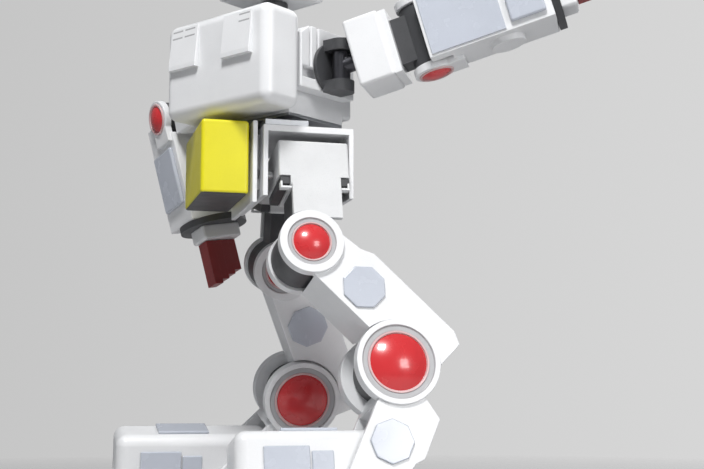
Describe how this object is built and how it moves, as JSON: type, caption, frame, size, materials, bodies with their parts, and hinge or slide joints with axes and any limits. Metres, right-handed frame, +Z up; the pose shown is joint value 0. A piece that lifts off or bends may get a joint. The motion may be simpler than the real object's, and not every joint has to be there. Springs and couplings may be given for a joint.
{
  "type": "legged robot dog kit",
  "caption": "Four-limbed robot dog kit standing on its hind legs: box paws, ringed joints with domed caps, deep chest box, belly pack and stretched forelimbs.",
  "frame": {"origin": "on the floor under the middle of the bounding box", "axes": "+Z up, -Y the way the paws point, +X the robot's left side"},
  "size_m": [0.2624, 0.2868, 0.407],
  "materials": {
    "white_shell": "satin white moulding",
    "pale_pad": "glossy pale grey-blue inlay",
    "dark_joint": "dark grey moulding",
    "red_cap": "glossy red dome",
    "yellow_pack": "satin yellow case",
    "grey_metal": "bead-blasted sheet",
    "steel_pin": "ground pin",
    "sole_rubber": "moulded rubber",
    "visor_dark": "smoked visor",
    "finger_red": "dark red-brown",
    "board_green": "circuit board"
  },
  "bodies": {
    "pelvis": {"pelvis_frame": "white_shell", "roll_shafts": "steel_pin", "belly_plate": "white_shell", "belly_pack": "yellow_pack", "waist_collar": "grey_metal"},
    "trunk": {"trunk_frame": "white_shell", "control_board": "board_green", "trunk_floor": "grey_metal", "chest_box": "white_shell", "vent_covers": "white_shell", "trunk_side_left": "white_shell", "trunk_side_right": "white_shell", "back_pack": "white_shell", "neck_post": "dark_joint"},
    "head": {"skull": "white_shell", "visor": "visor_dark", "ears": "white_shell"},
    "hip_left": {"hip_yoke_left": "white_shell", "hip_barrel_left": "dark_joint"},
    "thigh_left": {"thigh_shell_left": "white_shell", "knee_barrel_left": "dark_joint", "hip_caps_left": "red_cap", "thigh_pads_left": "pale_pad"},
    "shin_left": {"shin_shell_left": "white_shell", "knee_caps_left": "red_cap", "shin_pads_left": "pale_pad"},
    "foot_left": {"foot_shell_left": "white_shell", "sole_left": "sole_rubber", "foot_pads_left": "pale_pad"},
    "shoulder_left": {"shoulder_left": "dark_joint"},
    "upper_arm_left": {"upper_arm_shell_left": "white_shell", "upper_arm_root_left": "grey_metal", "elbow_frame_left": "dark_joint"},
    "forearm_left": {"forearm_shell_left": "white_shell", "elbow_caps_left": "red_cap", "forearm_pad_left": "pale_pad"},
    "hand_left": {"hand_back_left": "white_shell"},
    "fingers_left": {"fingers_left": "finger_red"},
    "hip_right": {"hip_yoke_right": "white_shell", "hip_barrel_right": "dark_joint"},
    "thigh_right": {"thigh_shell_right": "white_shell", "knee_barrel_right": "dark_joint", "hip_caps_right": "red_cap", "thigh_pads_right": "pale_pad"},
    "shin_right": {"shin_shell_right": "white_shell", "knee_caps_right": "red_cap", "shin_pads_right": "pale_pad"},
    "foot_right": {"foot_shell_right": "white_shell", "sole_right": "sole_rubber", "foot_pads_right": "pale_pad"},
    "shoulder_right": {"shoulder_right": "dark_joint"},
    "upper_arm_right": {"upper_arm_shell_right": "white_shell", "upper_arm_root_right": "grey_metal", "elbow_frame_right": "dark_joint"},
    "forearm_right": {"forearm_shell_right": "white_shell", "elbow_caps_right": "red_cap", "forearm_pad_right": "pale_pad"},
    "hand_right": {"hand_back_right": "white_shell"},
    "fingers_right": {"fingers_right": "finger_red"}
  },
  "joints": [
    {"name": "waist_turn", "type": "hinge", "parent": "pelvis", "child": "trunk", "pos_m": [-0.00319, -0.04389, 0.258], "axis": [0, 0, 1], "range_deg": [-60, 15]},
    {"name": "head_turn", "type": "hinge", "parent": "trunk", "child": "head", "pos_m": [0.00022, -0.04883, 0.325], "axis": [0, 0, 1], "range_deg": [-60, 60]},
    {"name": "hip_roll_left", "type": "hinge", "parent": "pelvis", "child": "hip_left", "pos_m": [0.02612, -0.03589, 0.22367], "axis": [0, -1, 0], "range_deg": [-6, 10]},
    {"name": "hip_pitch_left", "type": "hinge", "parent": "hip_left", "child": "thigh_left", "pos_m": [0.03781, -0.03589, 0.173], "axis": [0.9744, 0, 0.225], "range_deg": [-60, 20]},
    {"name": "knee_left", "type": "hinge", "parent": "thigh_left", "child": "shin_left", "pos_m": [0.05471, 0.01318, 0.09981], "axis": [0.9744, 0, 0.225], "range_deg": [-45, 30]},
    {"name": "ankle_left", "type": "hinge", "parent": "shin_left", "child": "foot_left", "pos_m": [0.07151, -0.0115, 0.02706], "axis": [0.9744, 0, 0.225], "range_deg": [-25, 25]},
    {"name": "shoulder_turn_left", "type": "hinge", "parent": "trunk", "child": "shoulder_left", "pos_m": [0.04126, -0.01322, 0.293], "axis": [0.8231, 0.5678, 0], "range_deg": [-60, 60]},
    {"name": "shoulder_swing_left", "type": "hinge", "parent": "shoulder_left", "child": "upper_arm_left", "pos_m": [0.04126, -0.01322, 0.293], "axis": [0, 0, 1], "range_deg": [-15, 15]},
    {"name": "elbow_left", "type": "hinge", "parent": "upper_arm_left", "child": "forearm_left", "pos_m": [0.06774, 0.03474, 0.30871], "axis": [-0.1332, -0.2413, 0.9613], "range_deg": [-10, 60]},
    {"name": "wrist_turn_left", "type": "hinge", "parent": "forearm_left", "child": "hand_left", "pos_m": [0.10491, 0.10207, 0.33076], "axis": [0.4646, 0.8416, 0.2756], "range_deg": [-90, 90]},
    {"name": "grip_left", "type": "hinge", "parent": "hand_left", "child": "fingers_left", "pos_m": [0.1194, 0.11383, 0.33572], "axis": [0.1332, 0.2413, -0.9613], "range_deg": [0, 25]},
    {"name": "hip_roll_right", "type": "hinge", "parent": "pelvis", "child": "hip_right", "pos_m": [-0.03249, -0.03589, 0.22367], "axis": [0, 1, 0], "range_deg": [-6, 10]},
    {"name": "hip_pitch_right", "type": "hinge", "parent": "hip_right", "child": "thigh_right", "pos_m": [-0.04419, -0.03589, 0.173], "axis": [0.9744, 0, -0.225], "range_deg": [-45, 35]},
    {"name": "knee_right", "type": "hinge", "parent": "thigh_right", "child": "shin_right", "pos_m": [-0.06399, -0.01869, 0.0872], "axis": [0.9744, 0, -0.225], "range_deg": [-45, 28]},
    {"name": "ankle_right", "type": "hinge", "parent": "shin_right", "child": "foot_right", "pos_m": [-0.07788, -0.06741, 0.02706], "axis": [0.9744, 0, -0.225], "range_deg": [-20, 20]},
    {"name": "shoulder_turn_right", "type": "hinge", "parent": "trunk", "child": "shoulder_right", "pos_m": [-0.04763, -0.07455, 0.293], "axis": [-0.8231, -0.5678, 0], "range_deg": [-60, 25]},
    {"name": "shoulder_swing_right", "type": "hinge", "parent": "shoulder_right", "child": "upper_arm_right", "pos_m": [-0.04763, -0.07455, 0.293], "axis": [0, 0, 1], "range_deg": [-15, 15]},
    {"name": "elbow_right", "type": "hinge", "parent": "upper_arm_right", "child": "forearm_right", "pos_m": [-0.10136, -0.09263, 0.28704], "axis": [0.3313, -0.9276, -0.1727], "range_deg": [-60, 5]},
    {"name": "wrist_turn_right", "type": "hinge", "parent": "forearm_right", "child": "hand_right", "pos_m": [-0.09143, -0.07469, 0.20972], "axis": [0.1242, 0.2243, -0.9666], "range_deg": [-90, 90]},
    {"name": "grip_right", "type": "hinge", "parent": "hand_right", "child": "fingers_right", "pos_m": [-0.09574, -0.07274, 0.19099], "axis": [-0.3313, 0.9276, 0.1727], "range_deg": [0, 25]}
  ]
}
